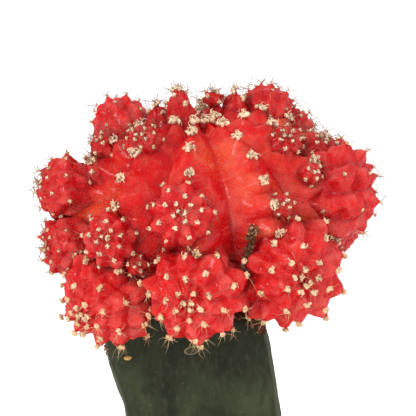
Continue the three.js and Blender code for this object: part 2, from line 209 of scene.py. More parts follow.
MOTHER = head((0, 0, 150), 27, (-0.12, 0, 1), 264, rows=13, up=0.78, down=0.9, furrow=0.14,
              knob=0.1, narrow=2.2, saddle=0.04, crowding=0.96, crest=0.08, valley=0.04,
              shifts=(0.25, 0.5, 0.5, 0, 0.5, 0, 0.5, 0, 0.25, 0), bend=0.012)
FRONT = [
    head((-21.5, -17, 133.8), 9.6, (-0.67, -0.69, -0.26), 10, woolly=1.2),
    head((-20.5, -20.5, 147.5), 5.7, (-0.24, -0.88, 0.41), **MEDIUM),
    head((-15.2, -22.5, 143), 2.3, (0, -0.97, 0.26), ribs=6, rows=3, down=1.8),
    head((-2.7, -25.5, 137.7), 9.9, (-0.1, -0.99, -0.02), 20, woolly=1.2),
    head((-5.5, -26, 154.6), 6.2, (0.07, -0.9, 0.42), 5, **MEDIUM),
    head((15.6, -22.5, 155.9), 2.3, (0.2, -0.76, 0.62), 15, **BUD),
    head((17.3, -19.5, 140.7), 10.8, (0.35, -0.94, 0.03), woolly=1.2),
    head((22, -13.5, 160.6), 2.2, (0.44, -0.78, 0.44), **BUD),
]
SIDES = [
    head((-31.4, -4, 155), 6.3, (-0.9, -0.32, 0.29), **SIDEWAYS),
    head((-30.6, -7, 142.7), 6.4, (-0.9, -0.43, 0.05), 20, **SIDEWAYS),
    head((-23.6, -3, 157.6), 4.8, (-0.62, -0.3, 0.7), 10, **SMALL),
    head((26.8, -2, 153.3), 10.6, (0.9, 0.43, -0.02), 10, up=0.88, down=1.2, woolly=0.7),
    head((28.6, 0, 143.4), 4.6, (0.75, -0.2, -0.6), **SMALL),
    head((23.8, 0, 161.5), 5.2, (0.32, -0.28, 0.9), **MEDIUM, down=1.4),
]
CROWN = [
    head((-19.4, 8, 166.4), 6, (-0.53, 0.73, 0.43), **MEDIUM, down=1.4, woolly=0.7),
    head((-23, -3, 164), 2.5, (-0.36, -0.49, 0.79), **BUD),
    head((-14, -12, 167), 3.5, (-0.18, -0.66, 0.73), **SMALL),
    head((12.9, 10, 169.8), 5.3, (0.07, 0.77, 0.64), **MEDIUM, down=1.5, woolly=0.7),
    head((16.5, -8, 166), 3.6, (0.18, -0.71, 0.68), **SMALL),
    head((19, 12, 164.8), 4, (0.67, 0.69, 0.27), **SMALL, up=1.0),
    head((-5.3, -1, 167.2), 3.8, (-0.15, 0, 1), **FINGER),
    head((6, 6, 165.4), 5.6, (0, 0, 1), 30, **HORN),
    head((-10.8, 3, 164), 5, (-0.05, 0, 1), 20, **HORN),
    head((1.9, 5, 165.5), 4.1, (0, 0, 1), **HORN),
    head((1.2, 4.6, 172.9), 2.1, (0, 0.1, 0.98), ribs=6, rows=3, up=0.75, down=0.9),
]
BACK = [
    head((20.5, 20, 140), 8.4, (0.6, 0.78, -0.1), **REAR),
    head((3.5, 27, 139), 9.7, (0.1, 0.98, -0.1), 12, **REAR),
    head((-16, 23.5, 141), 8.7, (-0.5, 0.86, -0.05), **REAR),
    head((-27, 11, 147), 5.9, (-0.88, 0.45, 0.1), **REAR, down=1.4),
    head((10, 24.5, 156.5), 6, (0.3, 0.86, 0.4), **REAR, down=1.4),
    head((-7.5, 25, 157), 6.6, (-0.25, 0.86, 0.44), 8, **REAR, down=1.4),
]
OFFSETS = FRONT + SIDES + CROWN + BACK
HEADS = [MOTHER] + OFFSETS
print(len(HEADS), "heads")

# %% [markdown]
# ## The skin of a head
#
# The skin could be sculpted by hand, but a formula keeps every knob in step with its areole.
# Two numbers name a point: `turn` counts ribs round the head and `step` counts areoles down from
# the crown. Where both are whole numbers there is an areole. The formula starts from a globe,
# takes a furrow away between the ribs and adds a four-sided knob at each areole, some taller
# than others. The corners are blunted, because flesh full of water has no sharp edge. Last, the
# whole head is bent a little out of true.

# %% Skin formula
DIMPLE = 0.12
DIMPLE_SPREAD = 0.38
SHORTEST_KNOB = 0.7
TALLEST_KNOB = 1.3
KNOB_AT_POLES = 0.45
FURROW_FADE = 0.7
FURROW_SHARPNESS = 1.3
BEND_LENGTH = 1.5
BY_RIB = 127.1
BY_ROW = 311.7
BY_HEAD = 74.7
LARGE = 43758.5453


def blunt(value, width):
    """value from 0 to 1 with its corner at 0 rounded: the square root of value squared plus
    width squared, scaled back to 0 to 1."""
    return (np.sqrt(value**2 + width**2) - width) / (math.sqrt(1 + width**2) - width)


def turning(a_head):
    """The matrix that takes a head's own frame, crown up, to the plant's: the roll about the
    crown's axis, then the shortest turn from straight up to the tip."""
    x, y, z = a_head["tip"]
    cross = np.array([[0, 0, x], [0, 0, y], [-x, -y, 0]])
    aim = np.eye(3) + cross + cross @ cross / (1 + z)
    cosine, sine = math.cos(a_head["roll"]), math.sin(a_head["roll"])
    return aim @ np.array([[cosine, -sine, 0], [sine, cosine, 0], [0, 0, 1]])


def stagger(a_head, rib):
    """How far a rib's areoles are moved towards the crown, in rows."""
    shifts = np.array(a_head["shifts"])
    return shifts[np.mod(rib, a_head["ribs"]).astype(int) % len(shifts)]


def growth(a_head, rib, row):
    """How tall an areole's knob has grown, drawn by its rib, its row and its head: the part
    after the point of a sine times a large number."""
    own = np.mod(rib, a_head["ribs"])
    drawn = np.sin(own * BY_RIB + row * BY_ROW + a_head["seed"] * BY_HEAD) * LARGE
    return SHORTEST_KNOB + (TALLEST_KNOB - SHORTEST_KNOB) * (drawn - np.floor(drawn))


def skin(a_head, turn, step):
    """Points of the skin in the plant's frame, with the furrow's depth and the knob's height
    there, from 0 to 1. With p the angle from the crown, a point stands sin p x (1 + knob -
    furrow) from the axis and cos p x (reach + knob - furrow) along it, in radii."""
    rib, row = np.round(turn), np.round(step)
    across = np.clip(2 * np.abs(turn - rib), 0, 1)
    along = np.clip(2 * np.abs(step - row), 0, 1)
    own = stagger(a_head, rib)
    shift = own + (stagger(a_head, rib + np.sign(turn - rib)) - own) * across / 2
    down = step - shift * np.minimum(np.minimum(1, step), a_head["rows"] - step)
    polar = math.pi * (np.clip(down, 0, None) / a_head["rows"]) ** a_head["crowding"]
    azimuth = 2 * math.pi * turn / a_head["ribs"]
    girth = np.clip(np.sin(polar), 0, None)
    crest = blunt(across, a_head["crest"])
    furrow = girth**FURROW_FADE * (1 - blunt(1 - crest, a_head["valley"])) ** FURROW_SHARPNESS
    on_rib = (row > 0) & (row < a_head["rows"])
    ridge = on_rib * (KNOB_AT_POLES + (1 - KNOB_AT_POLES) * girth)
    ridge = ridge * (1 - blunt(along, a_head["crest"]))
    height = growth(a_head, rib, row) * (1 - crest) ** a_head["narrow"]
    knob = ridge * (a_head["saddle"] + (1 - a_head["saddle"]) * height)
    lift = a_head["knob"] * knob - a_head["furrow"] * furrow
    is_upper = np.cos(polar) > 0
    reach = np.where(is_upper, a_head["up"], a_head["down"])
    point = np.where(is_upper, a_head["point"], 0)
    dimple = (1 - point) * DIMPLE * np.exp(-((polar / DIMPLE_SPREAD) ** 2))
    outward = ((1 - point) * girth + point * (1 - np.cos(polar))) * (1 + lift)
    local = np.stack([outward * np.cos(azimuth), outward * np.sin(azimuth),
                      np.cos(polar) * (reach + lift) - dimple], axis=-1)
    points = local * a_head["radius"] @ turning(a_head).T + a_head["at"]
    wave, seed = BEND_LENGTH * a_head["radius"], a_head["seed"]
    sway = np.stack([ripple(points, wave, seed + axis) for axis in range(3)], axis=-1)
    return points + a_head["bend"] * a_head["radius"] * sway, furrow, knob


# %% [markdown]
# ## How near the next head is
#
# Where two heads press together the skin gets painted shade, a darker red. The distance to the
# nearest other head, taken as a plain oval, tells where that is. It also tells which areoles
# are buried and needn't be planted.

# %% Clearance
FAR = 99.0


def clearance(points, own):
    """Millimetres from each point to the nearest other head, below 0 inside one: the length of
    the point in that head's radii, less 1, times the radius."""
    nearest = np.full(points.shape[:-1], FAR)
    for other in HEADS:
        if other is own:
            continue
        local = (points - other["at"]) @ turning(other) / other["radius"]
        local[..., 2] /= np.where(local[..., 2] > 0, other["up"], other["down"])
        distance = (np.linalg.norm(local, axis=-1) - 1) * other["radius"]
        nearest = np.minimum(nearest, distance)
    return nearest


# %% [markdown]
# ## Meshes of the heads
#
# A head's mesh is the skin formula on a regular grid of turn and step, pushed in and out by two
# noises. The coarse one is folded: where it changes sign it makes a ridge, as in crumpled paper,
# because young flesh dries in creases. Six patterns go with the mesh for the material: how deep
# in a furrow a point lies, how high on a knob, how near a fold's ridge, how much its flank turns
# towards the light, which sets painted highlight and painted shade, how near the next head is,
# and the head's own tone.

# %% Head meshes
CREVICE_REACH = 0.8
FOLD_LENGTH = 1.3
FOLD_RISE = 0.5
FOLD_BLUNTNESS = 0.07
FOLD_WIDTH = 0.3
GRAIN_HEIGHT = 0.05
GRAIN_LENGTH = 1.1
# The direction the painted light comes from, for painted highlights and painted shade on the
# flanks.
PAINTED_LIGHT_FROM = unit(np.array([-0.8, -0.3, 0.5]))
CELLS_A_MM = 1.3
FEWEST_CELLS = 8
MOST_CELLS = 13


def slope(body):
    """Directions square to the skin at the points of a grid of rings: the cross product of the
    way down the rings and the way round them."""
    down = np.gradient(body, axis=0)
    around = np.roll(body, -1, axis=1) - np.roll(body, 1, axis=1)
    return unit(np.cross(down, around))


def head_shape(a_head, columns_per_rib, rings_per_row, tone, crumple):
    """A head's closed shape, with one ring for each part of a row. crumple: height of the folds
    on a head of one millimetre; it grows with the root of the radius."""
    columns = a_head["ribs"] * columns_per_rib
    rings = a_head["rows"] * rings_per_row
    turn = np.tile(np.arange(columns) / columns_per_rib, (rings - 1, 1))
    step = np.tile(np.arange(1, rings)[:, None] / rings_per_row, (1, columns))
    body, furrow, knob = skin(a_head, turn, step)
    ends = skin(a_head, np.zeros(2), np.array([0, a_head["rows"]]))[0]
    points, cells = closed_shapes(ends[:1], body[None], ends[1:])
    outward = unit(points - a_head["at"])
    size, seed = math.sqrt(a_head["radius"]), a_head["seed"] + 3
    swing = ripple(points, FOLD_LENGTH * size, seed)
    fold = FOLD_RISE - np.sqrt(swing**2 + FOLD_BLUNTNESS**2)
    push = crumple * size * fold + GRAIN_HEIGHT * ripple(points, GRAIN_LENGTH, seed + 1)
    points = points + outward * push[:, None]
    # How much a flank turns towards the painted light, for painted highlight and painted shade.
    faces_light = (slope(body) - unit(body - a_head["at"])) @ PAINTED_LIGHT_FROM
    patterns = {
        "furrow": closed_values(0, furrow[None], 0),
        "knob": closed_values(0, knob[None], 0),
        "faces_light": closed_values(0, faces_light[None], 0),
        "fold": np.exp(-((swing / FOLD_WIDTH) ** 2)),
        "crevice": np.exp(-np.clip(clearance(points, a_head), 0, None) / CREVICE_REACH),
        "tone": np.full(len(points), tone),
    }
    return points, cells, patterns


def fineness(a_head):
    """Cells across a rib, and along a row, of an offset: more on a large one."""
    return int(np.clip(CELLS_A_MM * a_head["radius"], FEWEST_CELLS, MOST_CELLS))


# %% [markdown]
# ## Colour helpers
#
# A finish is a small tree of shader nodes. A few helpers keep each tree readable: one adds a
# node and wires its inputs, one makes noise of a size in millimetres, one turns a number into
# colours and one lays them over each other. Colours are written as the codes that a colour
# picker shows and turned into the linear numbers that the shader wants.


# %% Node helpers
def colour(code):
    """The linear colour of a #rrggbb code."""
    channel = np.array([int(code[i:i + 2], 16) for i in (1, 3, 5)]) / 255
    linear = np.where(channel <= 0.04045, channel / 12.92, ((channel + 0.055) / 1.055) ** 2.4)
    return (*linear.tolist(), 1.0)


def feed(tree, node, inputs):
    """Links each input whose value is a socket, and sets the others. A colour may be a code."""
    for key, value in inputs.items():
        if isinstance(value, bpy.types.NodeSocket):
            tree.links.new(value, node.inputs[key])
        else:
            node.inputs[key].default_value = colour(value) if isinstance(value, str) else value


def wire(tree, kind, inputs=None, **settings):
    """A new shader node with these settings and inputs."""
    node = tree.nodes.new("ShaderNode" + kind)
    for key, value in settings.items():
        setattr(node, key, value)
    feed(tree, node, inputs or {})
    return node


def new_finish(name):
    """A new material and its tree."""
    material = bpy.data.materials.new(name)
    material.use_nodes = True
    return material, material.node_tree


def finished(material, inputs):
    """The material, once its Principled shader is fed."""
    tree = material.node_tree
    feed(tree, tree.nodes["Principled BSDF"], inputs)
    return material


def place(tree):
    """Where a point is, in metres."""
    return wire(tree, "TexCoord").outputs["Object"]


def height_of(tree):
    """How high a point is, in metres."""
    return wire(tree, "SeparateXYZ", {"Vector": place(tree)}).outputs["Z"]


def noise(tree, size, detail=2.0, stretch=(1, 1, 1), distortion=0.0):
    """Noise from 0 to 1 whose blots are about size millimetres wide."""
    where = wire(tree, "Mapping", {"Vector": place(tree), "Scale": stretch})
    inputs = {"Vector": where.outputs["Vector"], "Scale": 1 / (size * MM), "Detail": detail,
              "Distortion": distortion}
    return wire(tree, "TexNoise", inputs).outputs["Fac"]


def blots(tree, size, detail, *stretch):
    """Noise that is stretched at once."""
    return spread(tree, noise(tree, size, detail), *stretch)


def dots(tree, size, inner, outer):
    """A dot in each cell of about size millimetres: 1 up to inner from its middle and 0 from
    outer, in cells."""
    cells = wire(tree, "TexVoronoi", {"Vector": place(tree), "Scale": 1 / (size * MM)})
    return spread(tree, cells.outputs["Distance"], inner, outer, 1, 0)


def pattern(tree, name, *stretch):
    """The mesh's own pattern of that name, stretched if that is asked for."""
    value = wire(tree, "Attribute", attribute_name=name).outputs["Fac"]
    return spread(tree, value, *stretch) if stretch else value


def ramp(tree, value, *stops):
    """Colours along a number: each stop is a place from 0 to 1 and a colour code."""
    node = wire(tree, "ValToRGB", {"Fac": value})
    elements = node.color_ramp.elements
    for index, (at, code) in enumerate(stops):
        element = elements[index] if index < 2 else elements.new(at)
        element.position = at
        element.color = colour(code)
    return node.outputs["Color"]


def spread(tree, value, low, high, to_low=0.0, to_high=1.0):
    """The number stretched so that low to high becomes to_low to to_high, and kept in there."""
    inputs = {"Value": value, "From Min": low, "From Max": high, "To Min": to_low,
              "To Max": to_high}
    return wire(tree, "MapRange", inputs).outputs["Result"]


def times(tree, value, *others):
    """Numbers multiplied."""
    for other in others:
        value = wire(tree, "Math", {0: value, 1: other}, operation="MULTIPLY").outputs["Value"]
    return value


def layered(tree, base, *coats):
    """Colours laid over a base one after the other, each given by its share, 0 to 1, and its
    colour."""
    for share, over in coats:
        base = wire(tree, "Mix", {0: share, 6: base, 7: over}, data_type="RGBA").outputs[2]
    return base


def bumps(tree, *layers):
    """Relief over relief, each given by a height of 0 to 1 and the millimetres that 1 is."""
    under = {}
    for height, depth in layers:
        bump = wire(tree, "Bump", {"Height": height, "Distance": depth * MM, **under})
        under = {"Normal": bump.outputs["Normal"]}
    return under["Normal"]


# %% [markdown]
# ## The red flesh
#
# The flesh is a bag of water and red colour under a thin skin, so light goes in, scatters and
# comes out redder: that is subsurface scattering, which travels furthest in red. The skin over
# it carries papillae, tiny cells that stand up. Its colour paints them, the crests, the fold
# ridges and the flanks that face the light with a pale pink bloom and painted highlights, and
# deepens the red with painted shade in the furrows, on the flanks turned away and where two
# heads meet. A flat red would look like plastic. A thin coat of wax over it all gives the small
# sharp glints.


# %% Flesh
WARM_AT = (7.9, -21.7, 160.2)
WARM_INNER = 2.0
WARM_OUTER = 6.0
FURROW_SHADE_LINE = "#820a12"
CREVICE_SHADE_RED = "#840d14"


def flesh(name, deep_red_and_shade, body_red, warm_red, frost_and_highlight, warm_share, wrinkle, frost_and_highlight_strength):
    """The flesh's finish: deep_red_and_shade in the furrows as painted shade, with a darker painted
    shade line along their bottoms, body_red and patches of warm_red on the ribs, one of them at
    WARM_AT, a painted highlight where a flank faces the light and painted shade where it turns
    away, mottled, a pale pink bloom and painted highlights over the crests and fold ridges, and
    painted shade of dark red where two heads meet. wrinkle: depth of the fine wrinkles in
    millimetres. frost_and_highlight_strength: how strong the pale bloom and painted highlights
    are, 1 for the most."""
    material, tree = new_finish(name)
    away = wire(tree, "VectorMath", {0: place(tree), 1: [v * MM for v in WARM_AT]},
                operation="DISTANCE").outputs["Value"]
    spot = spread(tree, away, WARM_INNER * MM, WARM_OUTER * MM, 0.7, 0)
    patches = blots(tree, 13, 3, 0.62 - warm_share, 0.72 - warm_share / 2)
    patches = wire(tree, "Math", {0: patches, 1: spot}, operation="MAXIMUM").outputs["Value"]
    mottle = noise(tree, 2.2, 5, distortion=0.6)
    papilla = dots(tree, 0.55, 0.1, 0.6)
    # Painted highlight: a pale pink on the flanks that face the light.
    flank_highlight = times(tree, pattern(tree, "faces_light", 0.0, 0.32, 0, 0.15 * frost_and_highlight_strength),
                     blots(tree, 5, 4, 0.4, 0.62, 0.1, 1.4))
    # Painted highlight with a pale pink bloom over the crests, and below it over the fold ridges.
    crest_highlight = times(tree, pattern(tree, "knob", 0.05, 0.8), blots(tree, 3.2, 4, 0.42, 0.66),
                     spread(tree, papilla, 0, 1, 0.5, 1), 0.24 * frost_and_highlight_strength)
    fold_highlight = times(tree, pattern(tree, "fold"), blots(tree, 4, 3, 0.45, 0.65), 0.22 * frost_and_highlight_strength)
    red = layered(
        tree, body_red,
        (patches, warm_red),
        (spread(tree, mottle, 0.32, 0.49, 0.42, 0), deep_red_and_shade),
        (spread(tree, mottle, 0.53, 0.7, 0, 0.2 * frost_and_highlight_strength), frost_and_highlight),
        (pattern(tree, "tone", 0, 1, 0, 0.45), deep_red_and_shade),
        # Painted shade: the red deepens in the furrows, darkest along their bottoms.
        (pattern(tree, "furrow", 0.35, 0.95, 0, 0.5), deep_red_and_shade),
        (pattern(tree, "furrow", 0.86, 1.0, 0, 0.5), FURROW_SHADE_LINE),
        # Painted highlight on the flanks that face the light and painted shade on those turned
        # away.
        (flank_highlight, frost_and_highlight),
        (pattern(tree, "faces_light", -0.3, 0.0, 0.25, 0), deep_red_and_shade),
        # Pale pink bloom and painted highlights on the papillae, the crests and the fold ridges.
        (times(tree, papilla, 0.08 * frost_and_highlight_strength), frost_and_highlight),
        (crest_highlight, frost_and_highlight),
        (fold_highlight, frost_and_highlight),
        (times(tree, papilla, patches, 0.22), frost_and_highlight),
        # Painted shade: a dark red where two heads meet.
        (times(tree, pattern(tree, "crevice"), 0.42), CREVICE_SHADE_RED))
    return finished(material, {
        "Base Color": red, "Roughness": blots(tree, 2.0, 3, 0.3, 0.7, 0.38, 0.6),
        "Normal": bumps(tree, (papilla, 0.18), (noise(tree, 1.4, 4), wrinkle)),
        "Subsurface Weight": 0.2, "Subsurface Scale": 1.4 * MM, "IOR": 1.42,
        "Subsurface Radius": (1.0, 0.12, 0.08), "Specular IOR Level": 0.02,
        "Coat Weight": 0.27, "Coat Roughness": 0.1, "Coat IOR": 1.45})


# Each: a deep red that also serves as painted shade, body red, warm red, and a pale pink that also
# serves as painted highlight.
MOTHER_REDS = ("#b00812", "#cd0e12", "#d43a16", "#ec8876")
OFFSET_REDS = ("#b60a13", "#cb0e14", "#d6231a", "#ec867a")
mother_flesh = flesh("flesh of the mother head", *MOTHER_REDS, 0.12, 0.18, 0.75)
offset_flesh = flesh("flesh of the offsets", *OFFSET_REDS, 0.05, 0.24, 0.95)
print(mother_flesh.name, "and", offset_flesh.name)

# %% [markdown]
# ## The heads as pieces
#
# The mother head stands for the whole red node of the construction model. Her offsets go in
# four pieces by where they stand, and each offset gets a tone of its own, because older ones
# darken.

# %% Head pieces
MOTHER_CRUMPLE = 0.03
OFFSET_CRUMPLE = 0.19
mother_shape = head_shape(MOTHER, 26, 16, 0.0, MOTHER_CRUMPLE)
make_piece("mother_head", mother_shape, mother_flesh, "scion")
tones = iter(np.random.default_rng(11).uniform(0, 1, len(OFFSETS)))
GROUPS = {"front": FRONT, "sides": SIDES, "crown": CROWN, "back": BACK}
for name, group in GROUPS.items():
    shapes = [head_shape(h, fineness(h), fineness(h), next(tones), OFFSET_CRUMPLE) for h in group]
    make_piece("offsets_" + name, joined(shapes), offset_flesh)

# %% [markdown]
# ## Where the areoles are
#
# An areole sits where turn and step are whole numbers. Its own directions come from the skin
# too: two small steps, along the rib and across it, give two vectors in the surface, and their
# cross product points out of it. Areoles inside a neighbour are left out, and so are most of
# those at an offset's very crown, which are not open yet, and all of one that hangs in the dark
# below its neighbours. The old mother head's crown is crowded with large woolly ones.

# %% Areoles
STEP = 0.06
BARE = 0.25
YOUNG_CROWN = 0.9
OLD_CROWN = 1.25
OPEN_FROM = 0.6
EARLY_EVERY = 4
HANGING = -0.5


def areoles(a_head):
    """A head's bare areoles as arrays: at, out, down and side are vectors, size is in parts of
    a large one, and age runs from 0 at the crown to 1 at the foot."""
    row, rib = np.meshgrid(np.arange(1, a_head["rows"]), np.arange(a_head["ribs"]), indexing="ij")
    turn, step = rib.ravel().astype(float), row.ravel().astype(float)
    at = skin(a_head, turn, step)[0]
    along = skin(a_head, turn, step + STEP)[0] - skin(a_head, turn, step - STEP)[0]
    across = skin(a_head, turn + STEP, step)[0] - skin(a_head, turn - STEP, step)[0]
    out = unit(np.cross(along, across))
    down = unit(along)
    down_rib = step - stagger(a_head, turn) * np.minimum(1, a_head["rows"] - step)
    age = down_rib / a_head["rows"]
    size = np.full(len(at), np.clip((a_head["radius"] / 9) ** 0.25, 0.8, 1.2))
    young = OLD_CROWN if a_head is MOTHER else YOUNG_CROWN
    size = a_head["woolly"] * size * (young + (1 - young) * smooth(age, 0.03, 0.3))
    is_open = (a_head is MOTHER) | (down_rib > OPEN_FROM) | (turn % EARLY_EVERY == 0)
    is_open = is_open & (a_head["tip"][2] > HANGING)
    kept = is_open & (clearance(at + 0.3 * out, a_head) > BARE)
    found = dict(at=at, out=out, down=down, side=np.cross(out, down), size=size, age=age)
    return {key: values[kept] for key, values in found.items()}


def gathered(heads):
    """The areoles of several heads in one set of arrays."""
    sets = [areoles(a_head) for a_head in heads]
    return {key: np.concatenate([one[key] for one in sets]) for key in sets[0]}


mother_areoles = gathered([MOTHER])
offset_areoles = {name: gathered(group) for name, group in GROUPS.items()}
print("areoles:", len(mother_areoles["age"]), [len(a["age"]) for a in offset_areoles.values()])

# %% [markdown]
# ## Wool
#
# Up close an areole is a cushion of felt in small knots, like popcorn. Hair particles would be
# true to life but don't survive an export, so a cushion is a handful of small lumps, each a ball
# of 30 cells pushed about by noise. Thousands of them together read as felt.

# %% Lumps
LUMP_RINGS = 4
LUMP_COLUMNS = 6
LUMP_NOISE = 1.6


def lumps(centres, radii, roughness, seed, flatness=1.0):
    """Balls with uneven skins. With d the direction from the middle, a point stands at
    centre + radius x d x (1 + roughness x noise)."""
    polar = math.pi * np.arange(1, LUMP_RINGS + 1) / (LUMP_RINGS + 1)
    polar, around = np.meshgrid(polar, angles(LUMP_COLUMNS), indexing="ij")
    ball = np.stack([np.sin(polar) * np.cos(around), np.sin(polar) * np.sin(around),
                     np.cos(polar) * flatness], axis=-1)
    rings = centres[:, None, None] + radii[:, None, None, None] * ball
    pole = np.array([0, 0, flatness]) * radii[:, None]
    points, cells = closed_shapes(centres + pole, rings, centres - pole)
    middle = np.repeat(centres, LUMP_RINGS * LUMP_COLUMNS + 2, axis=0)
    swell = 1 + roughness * ripple(points, LUMP_NOISE * np.median(radii), seed)
    return middle + (points - middle) * swell[:, None], cells


def repeated(points, **patterns):
    """Patterns of one number a lump, a thread or an areole, as one number a point."""
    return {key: np.repeat(values, len(points) // len(values)) for key, values in patterns.items()}


def wool_shape(found, count, spread_to, lump, height, seed):
    """count lumps to an areole, scattered in a disc of spread_to millimetres round it, each of
    about lump millimetres and up to height millimetres above the skin."""
    rng = np.random.default_rng(seed)
    shape = (len(found["age"]), count)
    size = found["size"][:, None] * rng.uniform(0.9, 1.1, shape)
    around = rng.uniform(0, 2 * math.pi, shape)
    away = np.sqrt(rng.uniform(0, 1, shape))
    rise = rng.uniform(0.1, 1, shape)
    lift = height * rise * (1 - 0.55 * away)
    offset = (np.cos(around)[..., None] * found["down"][:, None]
              + np.sin(around)[..., None] * found["side"][:, None])
    offset = (spread_to * away)[..., None] * offset + lift[..., None] * found["out"][:, None]
    centres = found["at"][:, None] + offset * size[..., None]
    radii = lump * size * rng.uniform(0.65, 1.25, shape)
    points, cells = lumps(centres.reshape(-1, 3), radii.ravel(), 0.3, seed)
    shade = rng.uniform(0, 1, radii.size)
    return points, cells, repeated(points, age=found["age"], shade=shade, rise=rise.ravel())


# %% [markdown]
# ## Threads: spines and wool curls
#
# A spine and a curl of wool are the same shape, a thin tapered thread on an arc. A spine bends a
# little and a curl bends right round. Three sides are enough for something a fraction of a
# millimetre thick.

# %% Threads
THREAD_SIDES = 3
TAPER = 1.3


def threads(start, way, bend_to, length, bend, thick, rings, tip_share=0.25):
    """Tapered threads. With t the bend in radians, L the length and u from 0 at the root to 1 at
    the tip, the path is start + L/t x (sin(tu) way + (1 - cos(tu)) bend_to)."""
    u = np.linspace(1, 0, rings)[None, :, None]
    turned = bend[:, None, None] * u
    way, bend_to = way[:, None], bend_to[:, None]
    reach = (length / bend)[:, None, None]
    path = start[:, None] + reach * (np.sin(turned) * way + (1 - np.cos(turned)) * bend_to)
    level = np.cos(turned) * bend_to - np.sin(turned) * way
    upright = np.broadcast_to(np.cross(way, bend_to), level.shape)
    around = angles(THREAD_SIDES)[:, None]
    radius = 0.5 * thick[:, None, None] * (1 - (1 - tip_share) * u**TAPER)
    ring = np.cos(around) * level[:, :, None] + np.sin(around) * upright[:, :, None]
    rings_at = path[:, :, None] + radius[..., None] * ring
    onward = np.cos(turned[:, 0]) * way[:, 0] + np.sin(turned[:, 0]) * bend_to[:, 0]
    points, cells = closed_shapes(path[:, 0] + onward * thick[:, None], rings_at, path[:, -1])
    along = np.broadcast_to(u, (len(start), rings, THREAD_SIDES))
    return points, cells, closed_values(1, along, 0)


def fans(found, count, splay_low, splay_high, rng):
    """count directions to an areole, spread round it and leaning off its axis by splay_low to
    splay_high degrees."""
    shape = (len(found["age"]), count)
    around = 2 * math.pi * (np.arange(count) + rng.uniform(0, 1, shape)) / count
    splay = np.radians(rng.uniform(splay_low, splay_high, shape))
    return (np.cos(splay)[..., None] * found["out"][:, None]
            + (np.sin(splay) * np.cos(around))[..., None] * found["down"][:, None]
            + (np.sin(splay) * np.sin(around))[..., None] * found["side"][:, None])


def square_to(way, lean):
    """The part of lean at a right angle to way, as a unit vector."""
    return unit(lean - (lean * way).sum(axis=-1, keepdims=True) * way)


# %% [markdown]
# ## Spines
#
# The areoles near the crown have short pale spines and the old ones long grey-brown ones that
# curl. Low on the plant they are straw-coloured, a little shorter, and hang down. So age and
# height set colour, length and droop.

# %% Spine shapes
STRAW_BELOW = 143.0
STRAW_BAND = 11.0
DOWN = np.array([0.0, 0.0, -1.0])


def flat(values):
    """Arrays of one row an areole and one column a thread, as one row a thread."""
    return values.reshape(-1, *values.shape[2:])


def spine_shape(found, count, length, thick, seed, curl=0.9):
    """count spines to an areole, drawn with the seed."""
    rng = np.random.default_rng(seed)
    way = fans(found, count, 38, 82, rng)
    shape = way.shape[:2]
    height = found["at"][:, None, 2] + rng.normal(0, 3, shape)
    straw = smooth(STRAW_BELOW - height, 0, STRAW_BAND)
    age = found["age"][:, None] * np.ones(shape)
    way = unit(way + DOWN * (0.55 * straw * rng.uniform(0.3, 1, shape))[..., None])
    lean = rng.normal(size=way.shape) + DOWN * (0.6 * straw)[..., None]
    grown = 0.55 + 0.45 * smooth(age, 0.05, 0.3)
    long = length * grown * rng.uniform(0.5, 1.15, shape) * (0.8 + 0.2 * found["size"][:, None])
    long = long * (1 - 0.2 * straw)
    fat = thick * (1 - 0.1 * straw) * rng.uniform(0.75, 1.15, shape)
    bend = curl * rng.uniform(0.15, 1.3, shape) ** 1.5 + 0.05
    root = 0.1 * found["out"][:, None] + 0.3 * way * found["size"][:, None, None]
    start = found["at"][:, None] + root
    points, cells, along = threads(flat(start), flat(way), square_to(flat(way), flat(lean)),
                                   flat(long), flat(bend), flat(fat), 5)
    young = 1 - smooth(age, 0.04, 0.22)
    pale = np.clip(np.maximum(straw, 0.6 * young) + rng.normal(0, 0.16, shape), 0, 1)
    return points, cells, {**repeated(points, pale=flat(pale)), "along": along}


# %% Wool curls
def curls_shape(found, count, reach, length, thick, seed):
    """count curls of wool to an areole, drawn with the seed. They start on a dome of reach
    millimetres over it and bend right round."""
    rng = np.random.default_rng(seed)
    way = fans(found, count, 5, 80, rng)
    shape = way.shape[:2]
    size = found["size"][:, None] * rng.uniform(0.7, 1.2, shape)
    start = found["at"][:, None] + way * (reach * size)[..., None]
    lean = rng.normal(size=way.shape)
    bend = rng.uniform(1.6, 3.2, shape)
    points, cells, _ = threads(flat(start), flat(way), square_to(flat(way), flat(lean)),
                               flat(length * size), flat(bend), flat(thick * size), 7, 0.6)
    shade = rng.uniform(0, 1, size.size)
    return points, cells, repeated(points, age=found["age"], shade=shade, rise=np.ones(1))


# %% [markdown]
# ## Finishes of wool and spines
#
# Wool is cream where it is fresh, tan where it is old or low on the plant, and darker between the
# knots and at the base. Spines run from straw to a rosy grey-brown, with a darker tip.


# %% Wool and spine finishes
def wool_finish(name, fresh, old, deep):
    """Cream to tan by age, by height and by lump, brown at the base, with a fine matt relief."""
    material, tree = new_finish(name)
    grain = noise(tree, 0.35, 3)
    cream = layered(
        tree, fresh,
        (pattern(tree, "age", 0.15, 0.75, 0, 0.6), old),
        (spread(tree, height_of(tree), 0.14, 0.153, 0.5, 0), old),
        (pattern(tree, "shade", 0.5, 1.0, 0, 0.5), old),
        (pattern(tree, "rise", 0.1, 0.5, 0.7, 0), deep),
        (spread(tree, grain, 0.52, 0.7, 0, 0.25), deep))
    return finished(material, {
        "Base Color": cream, "Normal": bumps(tree, (grain, 0.12)), "Roughness": 0.95,
        "Specular IOR Level": 0.1, "Subsurface Weight": 0.1, "Subsurface Scale": 0.4 * MM})


